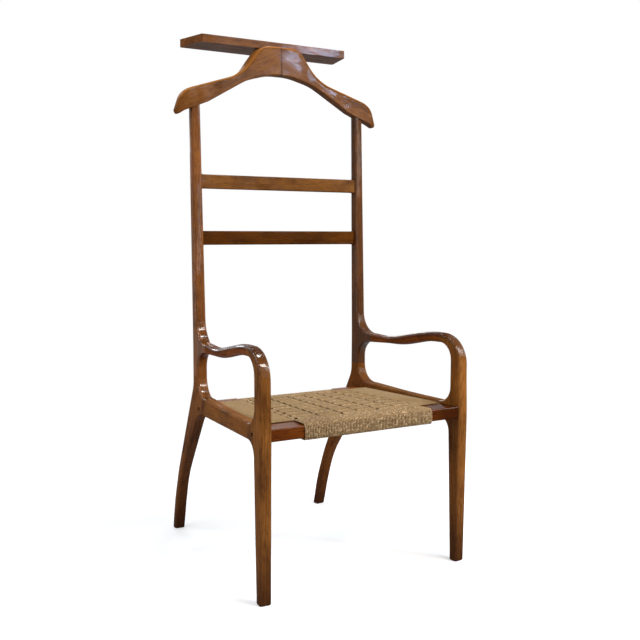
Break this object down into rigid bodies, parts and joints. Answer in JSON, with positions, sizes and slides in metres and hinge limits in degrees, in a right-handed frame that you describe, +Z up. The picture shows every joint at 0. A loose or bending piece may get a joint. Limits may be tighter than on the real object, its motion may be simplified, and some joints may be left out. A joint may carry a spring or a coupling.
{
  "type": "valet chair",
  "caption": "Wooden clothes valet chair with sculpted side frames and armrests, a woven paper cord seat, back rails, and a carved coat hanger with a tray behind its crown.",
  "frame": {"origin": "on the floor, under the middle of the chair's overall box", "axes": "+Z is up, the chair faces -Y, and +X is the side of its right-hand frame as seen from the front"},
  "size_m": [0.6042, 0.6388, 1.334],
  "materials": {
    "walnut": "satin lacquer",
    "rail": "satin lacquer",
    "dowel": "matt",
    "cord": "matt twisted paper cord",
    "steel": "dull"
  },
  "bodies": {
    "root": {"front_leg_left": "walnut", "front_leg_right": "walnut", "armrest_left": "walnut", "armrest_right": "walnut", "rear_upright_left": "walnut", "rear_upright_right": "walnut", "rear_leg_left": "walnut", "rear_leg_right": "walnut", "side_rail_left": "walnut", "side_rail_right": "walnut", "frame_dowels_left": "dowel", "frame_dowels_right": "dowel", "front_seat_rail": "rail", "rear_seat_rail": "rail", "seat_side_rail_left": "rail", "seat_side_rail_right": "rail", "seat_rail_dowels": "dowel", "cord_seat": "cord", "lower_back_rail": "rail", "upper_back_rail": "rail", "back_rail_dowels": "dowel", "hanger_left": "walnut", "hanger_right": "walnut", "hanger_seam_dowels": "dowel", "hanger_post_dowels": "dowel", "valet_tray": "walnut", "tray_bracket": "rail", "tray_screws": "steel", "bracket_dowels": "dowel", "frame_bolts": "steel", "barrel_nuts": "steel"}
  },
  "joints": []
}
